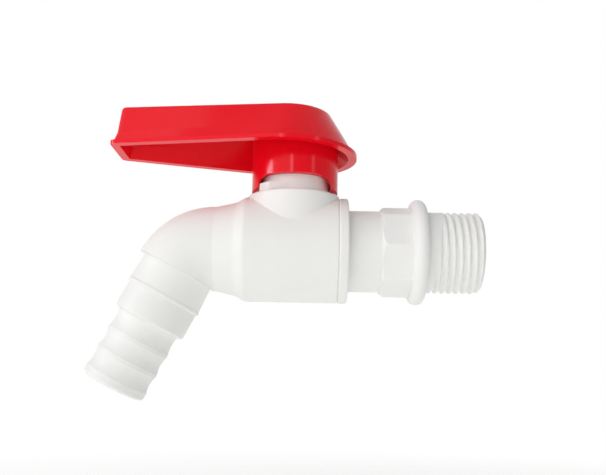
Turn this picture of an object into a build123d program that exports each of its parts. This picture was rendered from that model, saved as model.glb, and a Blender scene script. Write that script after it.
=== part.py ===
from build123d import *
import math
import os

os.makedirs("parts", exist_ok=True)

# A quarter-turn ball tap moulded in white plastic, with a red tray-shaped lever.
# The origin is the middle of the inlet flange's seat face, where the thread starts.
# X runs out of the inlet along the pipe axis, Z runs up along the stem.  Millimetres.

# Inlet union: thread, flange, octagonal wrench collar, neck and joint ring
thread_d = 20.955
thread_length = 14.2
thread_chamfer = 0.8
inlet_bore_d = 13.0
inlet_bore_chamfer = 0.6
flange_d = 27.2
flange_t = 3.8
flange_round = 1.8
collar_sides = 8
collar_corner_d = 23.5
collar_length = 7.6
collar_bevel = 0.9
neck_d = 21.0
neck_length = 8.4
ring_step = 0.1
ring_t = 2.4
ring_round = 0.5
seam_bevel = 0.35

# Valve body: barrel, bonnet, tower and stop lugs
barrel_d = 27.0
barrel_inlet_side = 11.4
barrel_outlet_side = 12.4
bonnet_d = 24.4
bonnet_top = 13.7
bonnet_round = 0.6
tower_d = 18.0
tower_top = 23.5
tower_bevel = 0.6
cavity_d = 20.6
lug_d = 21.8
lug_height = 2.3

# Spout: flare, elbow and hose tail
flare_length = 7.6
flare_drop_length = 2.4
flare_mid_d = 24.2
flare_shoulder_round = 1.6
flare_mid_round = 3.0
elbow_d = 21.9
elbow_bend_radius = 11.0
elbow_angle = 62.5
spout_bore_d = 13.0
step_one_root_d = 19.0
step_one_d = 19.7
step_one_length = 8.0
step_two_d = 19.1
step_two_length = 7.2
bead_height = 0.2
bead_width = 1.1
step_edge_round = 0.8
tail_crest_d = 16.7
tail_length = 18.4
tail_bore_d = 10.4
tail_rim_round = 0.9
barb_count = 3
barb_pitch = 5.5
barb_land = 0.9
barb_depth = 0.4
last_barb_to_tip = 1.9

# Ball, seats and seals
ball_d = 17.0
ball_port_d = 10.0
ball_slot_width = 4.0
ball_slot_floor = 5.9
seat_front = 5.0
seat_back = 7.7
seat_bore_d = 10.4
seat_gap = 0.15
seat_side_gap = 0.1
nose_gap = 0.1
ring_section_d = 1.5
ring_land = 0.12
union_groove_setback = 1.0

# Stem, thrust washer and its passage through the tower
stem_d = 7.0
stem_running_gap = 0.08
stem_flange_d = 9.6
stem_flange_bottom = 8.9
stem_flange_t = 1.5
washer_t = 0.6
pocket_gap = 0.3
tang_gap = 0.2
tang_length = 8.2
stem_groove_depth = 1.5
stem_groove_heights = (15.6, 20.0)
drive_square = 5.2
drive_gap = 0.1
pilot_d = 2.9
pilot_depth = 9.0

# Lever handle: a tray open below, with a round skirt over the tower
tray_top = 35.9
tray_rim = 24.5
tray_rim_tilt = 1.15
tray_top_tilt = 0.3
tray_top_round = 1.0
top_back_radius = 10.9
top_back_setback = 1.9
top_tip_reach = 45.3
top_tip_width = 10.6
knee_height = 4.5
knee_tip_reach = 45.9
rim_back_radius = 18.4
rim_back_setback = 2.3
rim_tip_reach = 47.3
rim_tip_width = 16.2
tip_corner_radius = 1.6
rim_lip = 0.3
rim_lip_height = 1.0
tray_wall = 1.9
tray_roof = 2.2
skirt_d = 22.4
skirt_gap = 0.3
skirt_bottom = 15.0
notch_width = 18.2
notch_top = 18.0
notch_round = 2.7
hub_d = 10.4
hub_gap = 0.5
socket_roof = 2.6

# Handle screw
screw_d = 3.5
screw_length = 11.0
screw_head_d = 6.8
screw_head_t = 2.0
screw_recess_d = 8.0
screw_recess_depth = 2.4
cross_width = 1.1
cross_span = 3.6
cross_depth = 1.2

stop_gap = 0.2
overlap = 0.5
fine = 0.02

# The joint ring stands a hair proud of the barrel
ring_d = barrel_d + 2 * ring_step

# Stations along the pipe axis, from the flange's seat face to the elbow
x_collar = -flange_t
x_neck = x_collar - collar_length
x_ring = x_neck - neck_length
x_joint = x_ring - ring_t
x_stem = x_joint - barrel_inlet_side
x_barrel_end = x_stem - barrel_outlet_side
x_bend = x_barrel_end - flare_length

# The hose tail leaves the end of the bend along its own slanted axis
bend = math.radians(elbow_angle)
tail_start = Vector(
    x_bend - elbow_bend_radius * math.sin(bend),
    0,
    -elbow_bend_radius * (1 - math.cos(bend)),
)
tail_dir = Vector(-math.cos(bend), 0, -math.sin(bend))
spout_length = step_one_length + step_two_length + tail_length
tail_plane = Plane(origin=tail_start, x_dir=tail_dir, z_dir=(0, -1, 0))
tail_axis = Axis(tail_start, tail_dir)
x_corner = x_bend - elbow_bend_radius * math.tan(bend / 2)
elbow_corner = Vector(x_corner, 0, 0)

# Planes and axes that the revolved pieces share
pipe_plane = Plane.XZ
stem_plane = Plane(origin=(x_stem, 0, 0), x_dir=(1, 0, 0), z_dir=(0, -1, 0))
stem_axis = Axis((x_stem, 0, 0), (0, 0, 1))


def along_pipe(diameter, x_from, x_to):
    return extrude(Plane.YZ.offset(x_from) * Circle(diameter / 2), x_to - x_from)


def along_stem(diameter, z_from, z_to):
    return Pos(x_stem, 0, z_from) * extrude(Circle(diameter / 2), z_to - z_from)


def outline_face(points):
    return make_face(Polyline(*points, close=True))


def torus_ring(plane, axis, centre_along, centre_out, section_d):
    return revolve(plane * Pos(centre_along, centre_out) * Circle(section_d / 2), axis)


def groove_width(section_d):
    return section_d + 2 * ring_land


def block(x_size, y_size, z_from, z_to):
    # A square bar on the stem's axis
    return Pos(x_stem, 0, z_from) * extrude(Rectangle(x_size, y_size), z_to - z_from)


# Seals: the union ring sits in the nose groove, two more sit in the stem's grooves
seat_outer_d = cavity_d - 2 * seat_side_gap
nose_d = cavity_d - 2 * nose_gap
x_nose = x_stem + seat_back
union_groove_d = cavity_d - 2 * (ring_section_d + 2 * fine)
x_union_groove = x_nose + union_groove_setback + groove_width(ring_section_d) / 2

stem_bore_d = stem_d + 2 * stem_running_gap
stem_groove_d = stem_d - 2 * stem_groove_depth
stem_flange_top = stem_flange_bottom + stem_flange_t
pocket_top = stem_flange_top + washer_t
pocket_d = stem_flange_d + 2 * pocket_gap

skirt_inner_d = tower_d + 2 * skirt_gap
screw_seat = tray_top - screw_recess_depth
socket_top = screw_seat - socket_roof
hub_bottom = tower_top + hub_gap
stem_top = socket_top - drive_gap
drive_bottom = tower_top - drive_gap


def inlet_union():
    flange_r = flange_d / 2
    bead = outline_face([
        (x_collar, 0),
        (x_collar, flange_r),
        (0, flange_r),
        (0, 0),
    ])
    rim = bead.vertices().filter_by_position(Axis.Y, flange_r - fine, flange_r + fine)
    flange = revolve(pipe_plane * fillet(rim, flange_round), Axis.X)

    joint_ring = along_pipe(ring_d, x_joint, x_ring)
    joint_ring = fillet(joint_ring.edges().group_by(Axis.X)[-1], ring_round)
    joint_ring = chamfer(joint_ring.edges().group_by(Axis.X)[0], seam_bevel)

    spigot = along_pipe(thread_d, -overlap, thread_length)
    spigot = chamfer(spigot.edges().group_by(Axis.X)[-1], thread_chamfer)

    octagon = RegularPolygon(collar_corner_d / 2, collar_sides)
    collar = extrude(Plane.YZ.offset(x_neck) * octagon, collar_length + overlap)
    turned = along_pipe(collar_corner_d, x_neck, x_collar + overlap)
    turned = chamfer(turned.edges().group_by(Axis.X)[0], collar_bevel)

    union = flange + joint_ring + spigot + (collar & turned)
    union += along_pipe(neck_d, x_ring - overlap, x_neck + overlap)
    union += along_pipe(nose_d, x_nose, x_joint + overlap)

    half_groove = groove_width(ring_section_d) / 2
    groove = along_pipe(ring_d, x_union_groove - half_groove, x_union_groove + half_groove)
    groove -= along_pipe(union_groove_d, x_nose, x_joint)
    bore = along_pipe(inlet_bore_d, x_nose - overlap, thread_length + overlap)
    mouth = outline_face([
        (thread_length - inlet_bore_chamfer, 0),
        (thread_length - inlet_bore_chamfer, inlet_bore_d / 2),
        (thread_length, inlet_bore_d / 2 + inlet_bore_chamfer),
        (thread_length + overlap, inlet_bore_d / 2 + inlet_bore_chamfer),
        (thread_length + overlap, 0),
    ])
    return union - groove - bore - revolve(pipe_plane * mouth, Axis.X)


def barrel_and_flare():
    # The barrel drops over a round shoulder to a long, gentle cone that meets the elbow
    barrel_r = barrel_d / 2
    elbow_r = elbow_d / 2
    middle = (x_barrel_end - flare_drop_length, flare_mid_d / 2)
    profile = outline_face([
        (x_joint, 0),
        (x_joint, barrel_r - seam_bevel),
        (x_joint - seam_bevel, barrel_r),
        (x_barrel_end, barrel_r),
        middle,
        (x_bend, elbow_r),
        (x_bend, 0),
    ])
    shoulder = profile.vertices().sort_by_distance((x_barrel_end, barrel_r))[0]
    profile = fillet(shoulder, flare_shoulder_round)
    foot = profile.vertices().sort_by_distance(middle)[0]
    profile = fillet(foot, flare_mid_round)
    return revolve(pipe_plane * profile, Axis.X)


def elbow():
    section = Plane.YZ.offset(x_bend) * Circle(elbow_d / 2)
    bend_axis = Axis((x_bend, 0, -elbow_bend_radius), (0, -1, 0))
    return revolve(section, bend_axis, elbow_angle)


def hose_tail():
    # Two plain steps with a bead between them, then three soft barbs and a round rim
    root_r = step_one_root_d / 2
    one_r = step_one_d / 2
    two_r = step_two_d / 2
    crest_r = tail_crest_d / 2
    valley_r = crest_r - barb_depth
    step_one_end = step_one_length
    step_two_end = step_one_end + step_two_length
    crests = []
    for barb in range(barb_count):
        crests.append(spout_length - last_barb_to_tip - (barb_count - 1 - barb) * barb_pitch)

    bead_start = step_one_end - bead_width
    edge_start = step_two_end - step_edge_round
    lines = [
        Line((0, 0), (0, root_r)),
        Line((0, root_r), (bead_start, one_r)),
        ThreePointArc(
            (bead_start, one_r),
            (step_one_end - bead_width / 2, one_r + bead_height),
            (step_one_end, two_r),
        ),
        Line((step_one_end, two_r), (edge_start, two_r)),
        RadiusArc((edge_start, two_r), (step_two_end, two_r - step_edge_round), step_edge_round),
        Line((step_two_end, two_r - step_edge_round), (step_two_end, crest_r)),
    ]
    here = step_two_end
    for crest in crests:
        land_start = crest - barb_land / 2
        land_end = crest + barb_land / 2
        valley = ((here + land_start) / 2, valley_r)
        lines.append(ThreePointArc((here, crest_r), valley, (land_start, crest_r)))
        lines.append(Line((land_start, crest_r), (land_end, crest_r)))
        here = land_end
    rim_start = spout_length - tail_rim_round
    lines += [
        Line((here, crest_r), (rim_start, crest_r)),
        RadiusArc((rim_start, crest_r), (spout_length, crest_r - tail_rim_round), tail_rim_round),
        Line((spout_length, crest_r - tail_rim_round), (spout_length, 0)),
        Line((spout_length, 0), (0, 0)),
    ]
    return revolve(tail_plane * make_face(lines), tail_axis)


def waterway():
    # Two straight cores meet in a ball at the elbow: one from the cavity, one from the tip
    straight = along_pipe(spout_bore_d, x_corner, x_stem)
    knuckle = Pos(elbow_corner) * Sphere(spout_bore_d / 2)
    core_length = elbow_bend_radius * math.tan(bend / 2) + spout_length + overlap
    core_plane = Plane(origin=elbow_corner, x_dir=tail_dir, z_dir=(0, -1, 0))
    core = outline_face([
        (0, 0),
        (0, spout_bore_d / 2 - fine),
        (core_length, tail_bore_d / 2),
        (core_length, 0),
    ])
    slanted = revolve(core_plane * core, Axis(elbow_corner, tail_dir))
    return straight + knuckle + slanted


def stop_lugs():
    # Each lug fills the corner that the skirt's legs leave free between open and shut:
    # one flat side meets a leg when the tap is open, the other when it is shut
    lug_top = bonnet_top + lug_height
    side = notch_width / 2 - stop_gap
    ring = along_stem(lug_d, bonnet_top - overlap, lug_top)
    ring -= along_stem(tower_d - 2 * overlap, bonnet_top - 2 * overlap, lug_top + overlap)
    corner = Rectangle(side, side, align=(Align.MIN, Align.MIN))
    lugs = []
    for half_turn in (0, 180):
        prism = extrude(Rot(0, 0, half_turn) * corner, lug_top)
        lugs.append(ring & (Pos(x_stem, 0, 0) * prism))
    return lugs


def valve_body():
    bonnet = along_stem(bonnet_d, 0, bonnet_top)
    bonnet = fillet(bonnet.edges().group_by(Axis.Z)[-1], bonnet_round)
    bonnet &= along_pipe(4 * bonnet_d, x_stem - bonnet_d, x_joint)
    tower = along_stem(tower_d, 0, tower_top)
    tower = chamfer(tower.edges().group_by(Axis.Z)[-1], tower_bevel)
    body = barrel_and_flare() + elbow() + hose_tail() + bonnet + tower
    for lug in stop_lugs():
        body += lug
    body -= along_pipe(cavity_d, x_stem - seat_back, x_joint + overlap)
    body -= waterway()
    body -= along_stem(pocket_d, 0, pocket_top)
    body -= along_stem(stem_bore_d, 0, tower_top + overlap)
    return body


def union_o_ring():
    centre_out = union_groove_d / 2 + ring_section_d / 2 + fine
    return torus_ring(pipe_plane, Axis.X, x_union_groove, centre_out, ring_section_d)


def ball():
    sphere = Pos(x_stem, 0, 0) * Sphere(ball_d / 2)
    port = along_pipe(ball_port_d, x_stem - ball_d, x_stem + ball_d)
    return sphere - port - block(ball_slot_width, ball_d, ball_slot_floor, ball_d)


def seat(side):
    # A ring whose inner face is part of a sphere just larger than the ball
    hollow_r = ball_d / 2 + seat_gap
    front_r = math.sqrt(hollow_r**2 - seat_front**2)
    bore_r = seat_bore_d / 2
    bore_x = math.sqrt(hollow_r**2 - bore_r**2)
    half = (math.atan2(front_r, seat_front) + math.atan2(bore_r, bore_x)) / 2
    outer_r = seat_outer_d / 2
    profile = make_face([
        ThreePointArc(
            (side * seat_front, front_r),
            (side * hollow_r * math.cos(half), hollow_r * math.sin(half)),
            (side * bore_x, bore_r),
        ),
        Line((side * bore_x, bore_r), (side * seat_back, bore_r)),
        Line((side * seat_back, bore_r), (side * seat_back, outer_r)),
        Line((side * seat_back, outer_r), (side * seat_front, outer_r)),
        Line((side * seat_front, outer_r), (side * seat_front, front_r)),
    ])
    return Pos(x_stem, 0, 0) * revolve(pipe_plane * profile, Axis.X)


def stem():
    stem_r = stem_d / 2
    profile = outline_face([
        (0, stem_flange_bottom),
        (stem_flange_d / 2, stem_flange_bottom),
        (stem_flange_d / 2, stem_flange_top),
        (stem_r, stem_flange_top),
        (stem_r, drive_bottom),
        (0, drive_bottom),
    ])
    shaft = revolve(stem_plane * profile, stem_axis)
    half_groove = groove_width(ring_section_d) / 2
    for height in stem_groove_heights:
        groove = along_stem(stem_d + overlap, height - half_groove, height + half_groove)
        groove -= along_stem(stem_groove_d, height - stem_d, height + stem_d)
        shaft -= groove
    tang_bottom = ball_slot_floor + tang_gap
    tang_width = ball_slot_width - 2 * tang_gap
    tang = block(tang_width, tang_length, tang_bottom, stem_flange_bottom + overlap)
    drive = block(drive_square, drive_square, drive_bottom - overlap, stem_top)
    drive &= along_stem(stem_d, drive_bottom - overlap, stem_top)
    return shaft + tang + drive - along_stem(pilot_d, stem_top - pilot_depth, stem_top + overlap)


def stem_o_ring(height):
    centre_out = stem_groove_d / 2 + ring_section_d / 2 + fine
    return torus_ring(stem_plane, stem_axis, centre_out, height, ring_section_d)


def thrust_washer():
    ring = along_stem(stem_flange_d, stem_flange_top, pocket_top)
    return ring - along_stem(stem_d + 2 * fine, stem_flange_top - overlap, pocket_top + overlap)


def tray_outline(back_radius, setback, tip_reach, tip_width, corner_radius):
    # Plan of the lever: a round back near the stem, straight sides tangent to it,
    # and a square tip with rounded corners, pointing away from the inlet
    corner_x = corner_radius - tip_reach
    corner_y = tip_width / 2 - corner_radius
    run = math.hypot(corner_x + setback, corner_y)
    towards = math.atan2(corner_y, corner_x + setback)
    normal = towards - math.acos((back_radius - corner_radius) / run)
    nx = math.cos(normal)
    ny = math.sin(normal)
    back = (back_radius * nx - setback, back_radius * ny)
    side = (corner_x + corner_radius * nx, corner_y + corner_radius * ny)
    half = normal / 2 + math.pi / 2
    knee = (corner_x + corner_radius * math.cos(half), corner_y + corner_radius * math.sin(half))
    tip = (-tip_reach, corner_y)
    near = [(x, -y) for x, y in (back, side, knee, tip)]
    return make_face([
        Line(back, side),
        ThreePointArc(side, knee, tip),
        Line(tip, near[3]),
        ThreePointArc(near[3], near[2], near[1]),
        Line(near[1], near[0]),
        ThreePointArc(near[0], (back_radius - setback, 0), back),
    ])


def between(share, above, below):
    return above + share * (below - above)


def wall_plan(z, inset):
    # The wall's plan at a height: the sides and back are straight from top to rim,
    # while the tip stands steep down to the knee and then flares out
    share = (tray_top - z) / (tray_top - tray_rim)
    knee_z = tray_rim + knee_height
    if z >= knee_z:
        reach = between((tray_top - z) / (tray_top - knee_z), top_tip_reach, knee_tip_reach)
    else:
        reach = between((knee_z - z) / knee_height, knee_tip_reach, rim_tip_reach - rim_lip)
    return tray_outline(
        between(share, top_back_radius, rim_back_radius - rim_lip) - inset,
        between(share, top_back_setback, rim_back_setback),
        reach - inset,
        between(share, top_tip_width, rim_tip_width - 2 * rim_lip) - 2 * inset,
        max(tip_corner_radius - inset, 2 * fine),
    )


def at_height(z, tilt=0):
    # A level on the stem's axis; a tilted one rises a little towards the tip
    return Pos(x_stem, 0, z) * Rot(0, tilt, 0)


rim_place = at_height(tray_rim, tray_rim_tilt)


def tray_block(inset, z_top):
    knee_z = tray_rim + knee_height
    sections = [
        rim_place * wall_plan(tray_rim, inset),
        at_height(knee_z) * wall_plan(knee_z, inset),
        at_height(z_top, tray_top_tilt) * wall_plan(z_top, inset),
    ]
    return loft(sections, ruled=True)


def skirt_notch():
    # An arch cut straight through the skirt, front to back, that leaves two legs
    height = notch_top - skirt_bottom + overlap
    arch = Rectangle(notch_width, height, align=(Align.CENTER, Align.MAX))
    top_corners = arch.vertices().group_by(Axis.Y)[-1]
    arch = fillet(top_corners, notch_round)
    return extrude(Pos(x_stem, 0, 0) * Plane.XZ * Pos(0, notch_top) * arch, skirt_d, both=True)


def lever_handle():
    outside = tray_block(0, tray_top)
    shell = fillet(outside.faces().sort_by(Axis.Z)[-1].edges(), tray_top_round)
    rim = tray_outline(
        rim_back_radius, rim_back_setback, rim_tip_reach, rim_tip_width, tip_corner_radius
    )
    shell += rim_place * extrude(rim, rim_lip_height)
    shell -= tray_block(tray_wall, tray_top - tray_roof)
    shell -= rim_place * extrude(wall_plan(tray_rim, tray_wall), -overlap)

    roof = tray_top - tray_roof / 2
    under_roof = tray_top - tray_roof
    skirt = along_stem(skirt_d, tray_rim, roof) & outside
    skirt += along_stem(skirt_d, skirt_bottom, tray_rim + overlap)
    skirt -= along_stem(skirt_inner_d, skirt_bottom - overlap, under_roof)
    skirt -= skirt_notch()
    handle = shell + skirt + along_stem(hub_d, hub_bottom, roof)

    socket_side = drive_square + 2 * drive_gap
    handle -= block(socket_side, socket_side, hub_bottom - overlap, socket_top)
    handle -= along_stem(screw_recess_d, screw_seat, tray_top + overlap)
    return handle - along_stem(screw_d + 2 * drive_gap, socket_top - overlap, tray_top)


def handle_screw():
    head = along_stem(screw_head_d, screw_seat, screw_seat + screw_head_t)
    head = fillet(head.edges().group_by(Axis.Z)[-1], screw_head_t / 3)
    shank = along_stem(screw_d, stem_top, screw_seat + overlap)
    core = along_stem(pilot_d - 2 * fine, screw_seat - screw_length, stem_top + overlap)
    cross_floor = screw_seat + screw_head_t - cross_depth
    cross_top = screw_seat + screw_head_t + overlap
    cross = block(cross_span, cross_width, cross_floor, cross_top)
    cross += block(cross_width, cross_span, cross_floor, cross_top)
    return head + shank + core - cross


nodes = {
    "valve_body": valve_body(),
    "inlet_union": inlet_union(),
    "union_o_ring": union_o_ring(),
    "inlet_seat": seat(1),
    "outlet_seat": seat(-1),
    "ball": ball(),
    "stem": stem(),
    "stem_o_ring_lower": stem_o_ring(stem_groove_heights[0]),
    "stem_o_ring_upper": stem_o_ring(stem_groove_heights[1]),
    "thrust_washer": thrust_washer(),
    "lever_handle": lever_handle(),
    "handle_screw": handle_screw(),
}

for name, solid in nodes.items():
    export_step(solid, f"parts/{name}.step")
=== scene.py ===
import math
import bpy
import numpy as np
from mathutils import Matrix, Vector


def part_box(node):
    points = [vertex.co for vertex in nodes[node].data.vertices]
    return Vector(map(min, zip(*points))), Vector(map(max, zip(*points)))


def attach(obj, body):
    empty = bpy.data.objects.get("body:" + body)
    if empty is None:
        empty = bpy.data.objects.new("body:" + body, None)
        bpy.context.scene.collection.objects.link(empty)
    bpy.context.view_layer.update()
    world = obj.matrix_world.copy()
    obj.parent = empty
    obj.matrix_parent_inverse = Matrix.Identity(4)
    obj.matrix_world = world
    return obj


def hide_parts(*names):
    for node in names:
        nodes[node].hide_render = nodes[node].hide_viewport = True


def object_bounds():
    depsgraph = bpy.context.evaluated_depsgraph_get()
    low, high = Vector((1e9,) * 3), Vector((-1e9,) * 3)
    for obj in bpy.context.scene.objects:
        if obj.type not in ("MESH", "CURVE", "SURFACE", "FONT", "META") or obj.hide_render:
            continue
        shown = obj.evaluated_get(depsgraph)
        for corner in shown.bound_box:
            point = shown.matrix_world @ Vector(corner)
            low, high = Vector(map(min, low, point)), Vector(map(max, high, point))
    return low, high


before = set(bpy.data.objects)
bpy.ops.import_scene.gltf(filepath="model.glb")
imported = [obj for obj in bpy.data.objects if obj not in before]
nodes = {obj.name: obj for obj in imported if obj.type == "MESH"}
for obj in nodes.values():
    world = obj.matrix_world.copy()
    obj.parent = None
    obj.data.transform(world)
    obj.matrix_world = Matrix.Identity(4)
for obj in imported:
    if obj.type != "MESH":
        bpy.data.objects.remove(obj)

cadLow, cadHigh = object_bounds()
mm = 0.001  # the frame is in metres, the sizes below are in millimetres
pureWhite = (1, 1, 1, 1)
print("frame loaded,", len(nodes), "moulded and metal pieces")


def hexToLinear(code):
    # sRGB hex to linear: a straight toe below 0.04045, a 2.4 power above it
    channels = np.array([int(code[i:i + 2], 16) for i in (1, 3, 5)]) / 255
    linear = np.where(channels <= 0.04045, channels / 12.92, ((channels + 0.055) / 1.055) ** 2.4)
    return (*linear.tolist(), 1.0)


def addNode(tree, kind, settings=None, links=None):
    # settings go to an input of that name or number, or else to the node itself
    node = tree.nodes.new(kind)
    for name, value in (settings or {}).items():
        if isinstance(name, int) or name in node.inputs:
            node.inputs[name].default_value = value
        else:
            setattr(node, name, value)
    for name, source in (links or {}).items():
        tree.links.new(source, node.inputs[name])
    return node


def newMaterial(name):
    material = bpy.data.materials.new(name)
    material.use_nodes = True
    material.node_tree.nodes.clear()
    return material, material.node_tree


def perMm(size):
    # a texture's scale for features of this size in millimetres
    return 1 / (size * mm)


# Satin white PVC, injection moulded: an even, faintly warm white with soft flow clouds
# and an orange peel so fine that it only softens the highlights
whitePvcLook = {
    "white": "#F2F2F0",
    "cloud": "#ECECEA",
    "cloudSize": 9.0,
    "cloudDetail": 3.0,
    "cloudRoughness": 0.55,
    "peelSize": 0.9,
    "peelDetail": 2.0,
    "peelDepth": 0.006,
    "peelStrength": 0.5,
    "roughness": (0.40, 0.50),
    "ior": 1.53,
    "gloss": 0.12,
}


def makeWhitePvc(look):
    material, tree = newMaterial("moulded_white_pvc")
    place = addNode(tree, "ShaderNodeTexCoord").outputs["Object"]
    clouds = addNode(tree, "ShaderNodeTexNoise",
                     {"Scale": perMm(look["cloudSize"]), "Detail": look["cloudDetail"],
                      "Roughness": look["cloudRoughness"]},
                     {"Vector": place})
    tint = addNode(tree, "ShaderNodeMix",
                   {"data_type": "RGBA", 6: hexToLinear(look["white"]), 7: hexToLinear(look["cloud"])},
                   {0: clouds.outputs["Fac"]})
    peel = addNode(tree, "ShaderNodeTexNoise",
                   {"Scale": perMm(look["peelSize"]), "Detail": look["peelDetail"]},
                   {"Vector": place})
    gloss = addNode(tree, "ShaderNodeMapRange",
                    {"To Min": look["roughness"][0], "To Max": look["roughness"][1]},
                    {"Value": clouds.outputs["Fac"]})
    bump = addNode(tree, "ShaderNodeBump",
                   {"Strength": look["peelStrength"], "Distance": look["peelDepth"] * mm},
                   {"Height": peel.outputs["Fac"]})
    shader = addNode(tree, "ShaderNodeBsdfPrincipled",
                     {"IOR": look["ior"], "Specular IOR Level": look["gloss"]},
                     {"Base Color": tint.outputs[2], "Roughness": gloss.outputs["Result"],
                      "Normal": bump.outputs["Normal"]})
    addNode(tree, "ShaderNodeOutputMaterial", links={"Surface": shader.outputs["BSDF"]})
    return material


# Glossy red polypropylene, injection moulded in a polished tool: a deep even red whose
# gloss wavers a little where the melt flowed along the walls, over a faint ripple.  The
# lever's flat top is taken to come from an eroded face of the tool, so it is matt.
redPpLook = {
    "red": "#F00B20",
    "flow": "#E8091C",
    "flowSize": (14.0, 14.0, 5.0),
    "flowDetail": 4.0,
    "flowRoughness": 0.5,
    "rippleSize": 1.6,
    "rippleDetail": 1.0,
    "rippleDepth": 0.008,
    "rippleStrength": 0.4,
    "roughness": (0.14, 0.22),
    "topRoughness": 0.8,
    "topDepth": (0.30, 0.05),  # below the top, where the matt finish starts and where it is full
    "ior": 1.49,
    "gloss": 0.12,
}


def makeRedPp(look, top):
    material, tree = newMaterial("moulded_red_pp")
    place = addNode(tree, "ShaderNodeTexCoord").outputs["Object"]
    stretched = addNode(tree, "ShaderNodeMapping",
                        {"Scale": [perMm(size) for size in look["flowSize"]]},
                        {"Vector": place})
    flow = addNode(tree, "ShaderNodeTexNoise",
                   {"Scale": 1.0, "Detail": look["flowDetail"], "Roughness": look["flowRoughness"]},
                   {"Vector": stretched.outputs["Vector"]})
    tint = addNode(tree, "ShaderNodeMix",
                   {"data_type": "RGBA", 6: hexToLinear(look["red"]), 7: hexToLinear(look["flow"])},
                   {0: flow.outputs["Fac"]})
    ripple = addNode(tree, "ShaderNodeTexNoise",
                     {"Scale": perMm(look["rippleSize"]), "Detail": look["rippleDetail"]},
                     {"Vector": place})
    gloss = addNode(tree, "ShaderNodeMapRange",
                    {"To Min": look["roughness"][0], "To Max": look["roughness"][1]},
                    {"Value": flow.outputs["Fac"]})
    height = addNode(tree, "ShaderNodeSeparateXYZ", links={0: place}).outputs["Z"]
    onTop = addNode(tree, "ShaderNodeMapRange",
                    {"interpolation_type": "SMOOTHSTEP", "From Min": top - look["topDepth"][0] * mm,
                     "From Max": top - look["topDepth"][1] * mm},
                    {"Value": height})
    finish = addNode(tree, "ShaderNodeMix", {3: look["topRoughness"]},
                     {0: onTop.outputs["Result"], 2: gloss.outputs["Result"]})
    bump = addNode(tree, "ShaderNodeBump",
                   {"Strength": look["rippleStrength"], "Distance": look["rippleDepth"] * mm},
                   {"Height": ripple.outputs["Fac"]})
    shader = addNode(tree, "ShaderNodeBsdfPrincipled",
                     {"IOR": look["ior"], "Specular IOR Level": look["gloss"]},
                     {"Base Color": tint.outputs[2], "Roughness": finish.outputs[0],
                      "Normal": bump.outputs["Normal"]})
    addNode(tree, "ShaderNodeOutputMaterial", links={"Surface": shader.outputs["BSDF"]})
    return material


# Natural polyethylene for the ball seats: turned and waxy, milky white with fine lathe rings
seatPeLook = {
    "milk": "#E6E6DE",
    "ring": "#DADAD0",
    "ringSpacing": 0.5,
    "roughness": 0.45,
    "ior": 1.51,
}


def makeSeatPe(look):
    ringTurn = 2 * math.pi / 20  # a wave texture turns 20 radians for each unit of its scale
    material, tree = newMaterial("turned_natural_pe")
    place = addNode(tree, "ShaderNodeTexCoord").outputs["Object"]
    rings = addNode(tree, "ShaderNodeTexWave",
                    {"wave_type": "RINGS", "rings_direction": "X",
                     "Scale": ringTurn * perMm(look["ringSpacing"])},
                    {"Vector": place})
    tint = addNode(tree, "ShaderNodeMix",
                   {"data_type": "RGBA", 6: hexToLinear(look["milk"]), 7: hexToLinear(look["ring"])},
                   {0: rings.outputs["Fac"]})
    shader = addNode(tree, "ShaderNodeBsdfPrincipled",
                     {"IOR": look["ior"], "Roughness": look["roughness"]},
                     {"Base Color": tint.outputs[2]})
    addNode(tree, "ShaderNodeOutputMaterial", links={"Surface": shader.outputs["BSDF"]})
    return material


# Black EPDM rubber for the sealing rings: matt, with a dusty bloom in soft patches
sealEpdmLook = {
    "black": "#161616",
    "bloom": "#2A2928",
    "bloomSize": 1.2,
    "bloomDetail": 3.0,
    "roughness": 0.7,
    "ior": 1.52,
}


def makeSealEpdm(look):
    material, tree = newMaterial("moulded_epdm")
    place = addNode(tree, "ShaderNodeTexCoord").outputs["Object"]
    bloom = addNode(tree, "ShaderNodeTexNoise",
                    {"Scale": perMm(look["bloomSize"]), "Detail": look["bloomDetail"]},
                    {"Vector": place})
    tint = addNode(tree, "ShaderNodeMix",
                   {"data_type": "RGBA", 6: hexToLinear(look["black"]), 7: hexToLinear(look["bloom"])},
                   {0: bloom.outputs["Fac"]})
    shader = addNode(tree, "ShaderNodeBsdfPrincipled",
                     {"IOR": look["ior"], "Roughness": look["roughness"]},
                     {"Base Color": tint.outputs[2]})
    addNode(tree, "ShaderNodeOutputMaterial", links={"Surface": shader.outputs["BSDF"]})
    return material


# Bright zinc plate on a steel screw: a cool grey metal, slightly clouded by the passivation
screwZincLook = {
    "zinc": "#C2C5C8",
    "cloud": "#AEB1B2",
    "cloudSize": 1.5,
    "cloudDetail": 4.0,
    "roughness": (0.24, 0.42),
}


def makeScrewZinc(look):
    material, tree = newMaterial("zinc_plated_steel")
    place = addNode(tree, "ShaderNodeTexCoord").outputs["Object"]
    clouds = addNode(tree, "ShaderNodeTexNoise",
                     {"Scale": perMm(look["cloudSize"]), "Detail": look["cloudDetail"]},
                     {"Vector": place})
    tint = addNode(tree, "ShaderNodeMix",
                   {"data_type": "RGBA", 6: hexToLinear(look["zinc"]), 7: hexToLinear(look["cloud"])},
                   {0: clouds.outputs["Fac"]})
    gloss = addNode(tree, "ShaderNodeMapRange",
                    {"To Min": look["roughness"][0], "To Max": look["roughness"][1]},
                    {"Value": clouds.outputs["Fac"]})
    shader = addNode(tree, "ShaderNodeBsdfPrincipled",
                     {"Metallic": 1.0},
                     {"Base Color": tint.outputs[2], "Roughness": gloss.outputs["Result"]})
    addNode(tree, "ShaderNodeOutputMaterial", links={"Surface": shader.outputs["BSDF"]})
    return material


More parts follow.
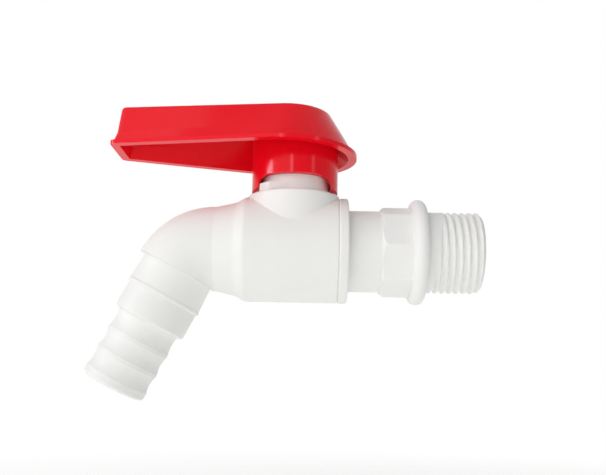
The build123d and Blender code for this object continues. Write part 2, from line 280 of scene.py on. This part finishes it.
whitePvc = makeWhitePvc(whitePvcLook)
redPp = makeRedPp(redPpLook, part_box("lever_handle")[1][2])
seatPe = makeSeatPe(seatPeLook)
sealEpdm = makeSealEpdm(sealEpdmLook)
screwZinc = makeScrewZinc(screwZincLook)

finishes = {
    "valve_body": whitePvc,
    "inlet_union": whitePvc,
    "ball": whitePvc,
    "stem": whitePvc,
    "lever_handle": redPp,
    "handle_screw": screwZinc,
    "inlet_seat": seatPe,
    "outlet_seat": seatPe,
    "thrust_washer": seatPe,
    "union_o_ring": sealEpdm,
    "stem_o_ring_lower": sealEpdm,
    "stem_o_ring_upper": sealEpdm,
}
for name, material in finishes.items():
    nodes[name].data.materials.clear()
    nodes[name].data.materials.append(material)
print("finishes made and put on", len(finishes), "pieces")


def gridMesh(name, points, material, sharpDegrees=32):
    # points is rows x columns x 3, closed in both directions; each face joins a
    # point with its neighbours in the next row and the next column
    rows, columns = points.shape[:2]
    here = np.arange(rows * columns).reshape(rows, columns)
    right = np.roll(here, -1, axis=1)
    down = np.roll(here, -1, axis=0)
    corner = np.roll(right, -1, axis=0)
    faces = np.stack([here, down, corner, right], axis=2).reshape(-1, 4)
    mesh = bpy.data.meshes.new(name)
    mesh.from_pydata((points.reshape(-1, 3) * mm).tolist(), [], faces.tolist())
    mesh.polygons.foreach_set("use_smooth", np.ones(len(faces), bool))
    mesh.set_sharp_from_angle(angle=math.radians(sharpDegrees))
    mesh.materials.append(material)
    piece = bpy.data.objects.new(name, mesh)
    bpy.context.scene.collection.objects.link(piece)
    return piece


# The inlet union: joint ring, neck, octagon collar, flange and a real pipe thread
unionSizes = {
    "boreRadius": 6.5,
    "boreChamfer": 0.6,
    "noseRadius": 10.2,
    "groove": (1.0, 2.74),  # from the nose's end
    "grooveRadius": 8.76,
    "noseLength": 3.7,
    "ringRadius": 13.6,
    "ringLength": 2.4,
    "ringRound": 0.5,
    "seamBevel": 0.35,
    "neckRadius": 10.5,
    "neckLength": 8.4,
    "collarCorner": 11.75,
    "collarSides": 8,
    "collarBevel": 0.9,
    "collarBevelRows": 10,
    "flangeLength": 3.8,
    "flangeRadius": 13.6,
    "flangeRound": 1.8,
    "threadRadius": 10.4775,
    "threadDepth": 0.8,
    "threadPitch": 1.814,
    "threadFlat": 0.16,  # flat share of the pitch, at root and crest
    "threadChamfer": 0.8,
    "threadChamferRows": 6,
    "threadStart": (0.2, 4.4),  # from the flange, below and on top
    "threadRunIn": 1.8,
    "threadRowsPerPitch": 12,
    "turnSteps": 288,
    "tiny": 0.01,  # tells neighbouring rows apart
}


def roundedCorner(along, out, radius, fromAngle, toAngle, steps=9):
    # quarter arc: the centre plus the radius at evenly spaced angles
    angles = np.radians(np.linspace(fromAngle, toAngle, steps))
    return np.stack([along + radius * np.cos(angles), out + radius * np.sin(angles)], axis=1)


def straightRun(start, end, steps):
    # evenly spaced points from one end to the other
    return np.linspace(start, end, steps)


def inletUnion(s, noseEnd, threadEnd):
    # A closed profile of (along, radius) is carried round the pipe's axis.  On the collar
    # the radius is the octagon's, the inradius over the cosine of the angle from the flat's
    # middle; on the thread a rounded ridge winds right-handed, one pitch for each turn, and
    # its groove deepens from a start that lies further from the flange on top than below.
    joint = noseEnd + s["noseLength"]
    ringFace = joint + s["ringLength"]
    collarStart = ringFace + s["neckLength"]
    flangeBack = -s["flangeLength"]
    ringCorner = s["ringRadius"] - s["ringRound"]
    flangeCorner = s["flangeRadius"] - s["flangeRound"]
    chamferStart = threadEnd - s["threadChamfer"]
    threadRows = int(chamferStart / s["threadPitch"] * s["threadRowsPerPitch"])
    groove = noseEnd + np.array(s["groove"])
    bore, nose, neck = s["boreRadius"], s["noseRadius"], s["neckRadius"]
    corner, bevel, tiny = s["collarCorner"], s["collarBevel"], s["tiny"]
    outline = np.concatenate([
        [(noseEnd, bore), (noseEnd, nose), (groove[0], nose), (groove[0], s["grooveRadius"])],
        [(groove[1], s["grooveRadius"]), (groove[1], nose), (joint, nose)],
        [(joint, s["ringRadius"] - s["seamBevel"]), (joint + s["seamBevel"], s["ringRadius"])],
        roundedCorner(ringFace - s["ringRound"], ringCorner, s["ringRound"], 90, 0),
        [(ringFace, neck), (collarStart - 2 * tiny, neck)],
        straightRun((collarStart, corner - bevel), (collarStart + bevel, corner), s["collarBevelRows"]),
        [(flangeBack, corner)],
        roundedCorner(flangeBack + s["flangeRound"], flangeCorner, s["flangeRound"], 180, 90),
        roundedCorner(-s["flangeRound"], flangeCorner, s["flangeRound"], 90, 0),
        straightRun((0, s["threadRadius"]), (chamferStart, s["threadRadius"]), threadRows),
        straightRun((chamferStart, s["threadRadius"]),
                    (threadEnd, s["threadRadius"] - s["threadChamfer"]), s["threadChamferRows"])[1:],
        [(threadEnd, bore + s["boreChamfer"]), (threadEnd - s["boreChamfer"], bore)],
    ])
    along, radius = outline[:, :1], outline[:, 1:]
    turn = np.linspace(0, 2 * np.pi, s["turnSteps"], endpoint=False)[None, :]

    flat = 2 * np.pi / s["collarSides"]
    octagon = corner * np.cos(flat / 2) / np.cos(turn % flat - flat / 2)
    onCollar = (along > collarStart - tiny) & (along < flangeBack + tiny) & (radius < corner + tiny)
    shaped = np.where(onCollar, np.minimum(radius, octagon), radius + 0 * turn)

    phase = along / s["threadPitch"] - turn / (2 * np.pi)
    ridge = np.clip((np.abs(2 * (phase % 1) - 1) - s["threadFlat"]) / (1 - 2 * s["threadFlat"]), 0, 1)
    ridge = ridge * ridge * (3 - 2 * ridge)
    startBelow, startOnTop = s["threadStart"]
    start = startBelow + (startOnTop - startBelow) * (1 + np.sin(turn)) / 2
    runIn = np.clip((along - start) / s["threadRunIn"], 0, 1)
    cut = s["threadRadius"] - s["threadDepth"] * (1 - ridge) * runIn
    onThread = (along > 0) & (radius > bore + s["boreChamfer"] + tiny)
    shaped = np.where(onThread, np.minimum(shaped, cut), shaped)
    return np.stack([along + 0 * turn, shaped * np.cos(turn), shaped * np.sin(turn)], axis=2)


unionLow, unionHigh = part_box("inlet_union")
unionPoints = inletUnion(unionSizes, unionLow.x / mm, unionHigh.x / mm)
threadedUnion = gridMesh("threaded_union", unionPoints, whitePvc)
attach(threadedUnion, "tap_body")
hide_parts("inlet_union")
print("threaded union made,", len(threadedUnion.data.polygons), "faces")


def seenWhite(tree):
    # 1 for rays from the camera, off gloss or through glass, 0 for the rest
    path = addNode(tree, "ShaderNodeLightPath")
    direct = addNode(tree, "ShaderNodeMath", {"operation": "MAXIMUM"},
                     {0: path.outputs["Is Camera Ray"], 1: path.outputs["Is Glossy Ray"]})
    seen = addNode(tree, "ShaderNodeMath", {"operation": "MAXIMUM"},
                   {0: direct.outputs[0], 1: path.outputs["Is Transmission Ray"]})
    return seen.outputs[0]


# A pale sweep of floor well below the tap, which hangs free as it does on its pipe
floorLook = {
    "height": -75.0,
    "reach": 3000.0,
    "pointsAcross": 9,
    "white": "#F6F6F4",
    "glow": 0.41,
    "shadowReach": (90.0, 330.0),
}


def paleFloor(look):
    # A flat grid of points.  Near the tap it is a matt floor that keeps the shadow and
    # throws white light up; further out it fades to the white of the surround, and from
    # below it is clear, so that the tap's underside can be seen.
    material, tree = newMaterial("pale_floor")
    place = addNode(tree, "ShaderNodeTexCoord").outputs["Object"]
    away = addNode(tree, "ShaderNodeVectorMath", {"operation": "LENGTH"}, {0: place})
    fade = addNode(tree, "ShaderNodeMapRange",
                   {"interpolation_type": "SMOOTHSTEP", "From Min": look["shadowReach"][0] * mm,
                    "From Max": look["shadowReach"][1] * mm},
                   {"Value": away.outputs["Value"]})
    seen = seenWhite(tree)
    fade = addNode(tree, "ShaderNodeMath", {"operation": "MULTIPLY"}, {0: fade.outputs[0], 1: seen})
    matt = addNode(tree, "ShaderNodeBsdfDiffuse", {"Color": hexToLinear(look["white"])})
    glow = addNode(tree, "ShaderNodeEmission", {"Color": pureWhite, "Strength": look["glow"]})
    lit = addNode(tree, "ShaderNodeAddShader", links={0: matt.outputs[0], 1: glow.outputs[0]})
    white = addNode(tree, "ShaderNodeEmission", {"Color": pureWhite, "Strength": 1.0})
    both = addNode(tree, "ShaderNodeMixShader",
                   links={0: fade.outputs[0], 1: lit.outputs[0], 2: white.outputs[0]})
    clear = addNode(tree, "ShaderNodeBsdfTransparent")
    below = addNode(tree, "ShaderNodeNewGeometry").outputs["Backfacing"]
    sided = addNode(tree, "ShaderNodeMixShader",
                    links={0: below, 1: both.outputs[0], 2: clear.outputs[0]})
    addNode(tree, "ShaderNodeOutputMaterial", links={"Surface": sided.outputs[0]})
    reach, count = look["reach"] * mm, look["pointsAcross"]
    edges = np.linspace(-reach, reach, count)
    x, y = np.meshgrid(edges, edges, indexing="ij")
    points = np.stack([x, y, 0 * x + look["height"] * mm], axis=2).reshape(-1, 3)
    cells = np.arange(count * count).reshape(count, count)
    faces = np.stack([cells[:-1, :-1], cells[1:, :-1], cells[1:, 1:], cells[:-1, 1:]], axis=2)
    mesh = bpy.data.meshes.new("floor")
    mesh.from_pydata(points.tolist(), [], faces.reshape(-1, 4).tolist())
    mesh.materials.append(material)
    floor = bpy.data.objects.new("floor", mesh)
    bpy.context.scene.collection.objects.link(floor)


paleFloor(floorLook)

# Light: a soft surround that is brighter on the left, one large window ahead and to the
# left, and three small bright panels that only draw highlights, at the rise that the lever's
# skirt mirrors.  Bearings are in degrees left of the camera and rises in degrees above level,
# seen from the tap's middle.
surround = {"ambientRight": 0.24, "ambientLeft": 0.42, "seen": 1.0}
softboxes = {
    "window": {"bearing": 42, "rise": 30, "away": 1000, "size": (1300, 1300), "radiance": 1.34,
               "tint": "#FFFFFF", "fills": True},
    "glintLeft": {"bearing": 70, "rise": 17, "away": 800, "size": (230, 115), "radiance": 27.0,
                  "tint": "#F4ECFF", "fills": False},
    "glintFront": {"bearing": 8, "rise": 17, "away": 800, "size": (55, 100), "radiance": 20.0,
                   "tint": "#F4ECFF", "fills": False},
    "glintRight": {"bearing": -49, "rise": 17, "away": 800, "size": (60, 100), "radiance": 9.0,
                   "tint": "#F4ECFF", "fills": False},
}


def lightSurround(values):
    world = bpy.data.worlds.new("white_surround")
    bpy.context.scene.world = world
    world.use_nodes = True
    tree = world.node_tree
    tree.nodes.clear()
    towards = addNode(tree, "ShaderNodeTexCoord").outputs["Generated"]
    across = addNode(tree, "ShaderNodeSeparateXYZ", links={0: towards})
    ambient = addNode(tree, "ShaderNodeMapRange",
                      {"From Min": -1.0, "From Max": 1.0,
                       "To Min": values["ambientLeft"], "To Max": values["ambientRight"]},
                      {"Value": across.outputs["X"]})
    strength = addNode(tree, "ShaderNodeMapRange", {"To Max": values["seen"]},
                       {"Value": seenWhite(tree), "To Min": ambient.outputs["Result"]})
    sky = addNode(tree, "ShaderNodeBackground", {"Color": pureWhite}, {"Strength": strength.outputs[0]})
    addNode(tree, "ShaderNodeOutputWorld", links={"Surface": sky.outputs[0]})


def placeSoftbox(name, values, target):
    # a lamp's power is its radiance times pi times its area
    left, rise = math.radians(values["bearing"]), math.radians(values["rise"])
    level = math.cos(rise)
    towards = Vector((-math.sin(left) * level, -math.cos(left) * level, math.sin(rise)))
    width, height = (side * mm for side in values["size"])
    lamp = bpy.data.lights.new(name, "AREA")
    lamp.shape = "RECTANGLE"
    lamp.size, lamp.size_y = width, height
    lamp.energy = values["radiance"] * math.pi * width * height
    lamp.color = hexToLinear(values["tint"])[:3]
    holder = bpy.data.objects.new(name, lamp)
    holder.location = target + towards * values["away"] * mm
    holder.rotation_mode = "QUATERNION"
    holder.rotation_quaternion = (-towards).to_track_quat("-Z", "Y")
    holder.visible_diffuse = values["fills"]
    bpy.context.scene.collection.objects.link(holder)


lightSurround(surround)
for name, values in softboxes.items():
    placeSoftbox(name, values, (cadLow + cadHigh) / 2)
print("floor and lights placed")


# The camera stands a little below the tap, level with its spout, and looks slightly up.
# Angles are in radians, and the focal length is in pixels of the photograph's width.
cameraSizes = {
    "place": (-30.52, -202.0, -34.61),
    "pitch": 0.1251,
    "yaw": 0.0023,
    "roll": 0.0188,
    "focalPixels": 788.3,
    "imageWidth": 606,
    "sensor": 36.0,
    "shiftUp": 0.08,
    "clip": (5.0, 20000.0),
}


def placeCamera(values):
    # right, up and backward axes: level axes turned by yaw, then pitch, then roll
    yaw, pitch, roll = values["yaw"], values["pitch"], values["roll"]
    level = Vector((-math.sin(yaw), math.cos(yaw), 0))
    right = Vector((math.cos(yaw), math.sin(yaw), 0))
    rise = Vector((0, 0, 1))
    forward = level * math.cos(pitch) + rise * math.sin(pitch)
    up = rise * math.cos(pitch) - level * math.sin(pitch)
    rolledRight = right * math.cos(roll) + up * math.sin(roll)
    rolledUp = up * math.cos(roll) - right * math.sin(roll)
    turned = Matrix((rolledRight, rolledUp, -forward)).transposed().to_4x4()
    lens = bpy.data.cameras.new("camera")
    lens.sensor_width = values["sensor"]
    lens.lens = values["focalPixels"] / values["imageWidth"] * values["sensor"]
    lens.shift_y = values["shiftUp"]
    lens.clip_start, lens.clip_end = (distance * mm for distance in values["clip"])
    camera = bpy.data.objects.new("camera", lens)
    camera.matrix_world = Matrix.Translation(Vector(values["place"]) * mm) @ turned
    bpy.context.scene.collection.objects.link(camera)
    bpy.context.scene.camera = camera


placeCamera(cameraSizes)
bpy.context.scene.view_settings.view_transform = "Standard"
print("camera placed")
